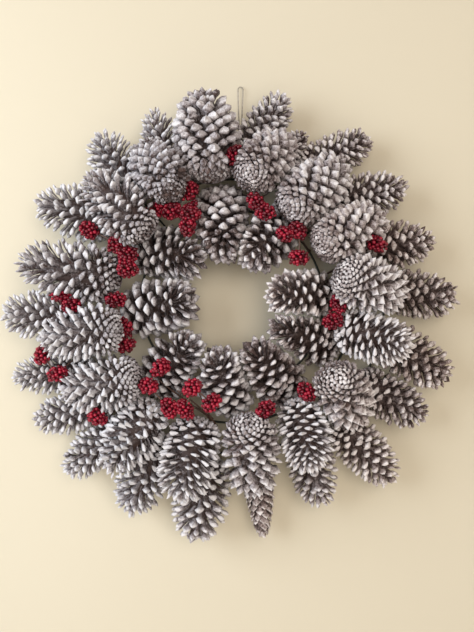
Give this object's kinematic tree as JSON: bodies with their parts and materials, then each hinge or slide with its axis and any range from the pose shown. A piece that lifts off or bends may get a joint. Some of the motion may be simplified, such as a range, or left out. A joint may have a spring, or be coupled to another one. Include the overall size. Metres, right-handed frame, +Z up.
{
  "type": "pinecone wreath",
  "caption": "Round hanging wreath of whitened pine cones laid in three layers round an open middle, with sprays of small red berries, on a wire ring frame with a thin hanging loop.",
  "frame": {"origin": "top of the inside of the hanging loop, where the wreath is carried", "axes": "+Z up, +X to the right of someone who faces the wreath, -Y toward that viewer; the flat back of the frame faces +Y"},
  "size_m": [0.5861, 0.1334, 0.5894],
  "materials": {
    "cone": "dry, rough, whitened at the scale ends",
    "berry": "glossy crimson berries on dark stems",
    "frame": "dark green-black coated wire",
    "loop": "thin grey wire"
  },
  "bodies": {
    "root": {"outer_cone_01": "cone", "outer_cone_02": "cone", "outer_cone_03": "cone", "outer_cone_04": "cone", "outer_cone_05": "cone", "outer_cone_06": "cone", "outer_cone_07": "cone", "outer_cone_08": "cone", "outer_cone_09": "cone", "outer_cone_10": "cone", "outer_cone_11": "cone", "outer_cone_12": "cone", "outer_cone_13": "cone", "outer_cone_14": "cone", "outer_cone_15": "cone", "outer_cone_16": "cone", "outer_cone_17": "cone", "outer_cone_18": "cone", "outer_cone_19": "cone", "outer_cone_20": "cone", "inner_cone_01": "cone", "inner_cone_02": "cone", "inner_cone_03": "cone", "inner_cone_04": "cone", "inner_cone_05": "cone", "inner_cone_06": "cone", "inner_cone_07": "cone", "inner_cone_08": "cone", "inner_cone_09": "cone", "front_cone_01": "cone", "front_cone_02": "cone", "front_cone_03": "cone", "front_cone_04": "cone", "front_cone_05": "cone", "front_cone_06": "cone", "front_cone_07": "cone", "front_cone_08": "cone", "front_cone_09": "cone", "front_cone_10": "cone", "front_cone_11": "cone", "front_cone_12": "cone", "front_cone_13": "cone", "front_cone_14": "cone", "front_cone_15": "cone", "front_cone_16": "cone", "berry_spray_01": "berry", "berry_spray_02": "berry", "berry_spray_03": "berry", "berry_spray_04": "berry", "berry_spray_05": "berry", "berry_spray_06": "berry", "berry_spray_07": "berry", "berry_spray_08": "berry", "berry_spray_09": "berry", "berry_spray_10": "berry", "berry_spray_11": "berry", "berry_spray_12": "berry", "berry_spray_13": "berry", "wire_frame": "frame", "hanging_loop": "loop"}
  },
  "joints": []
}
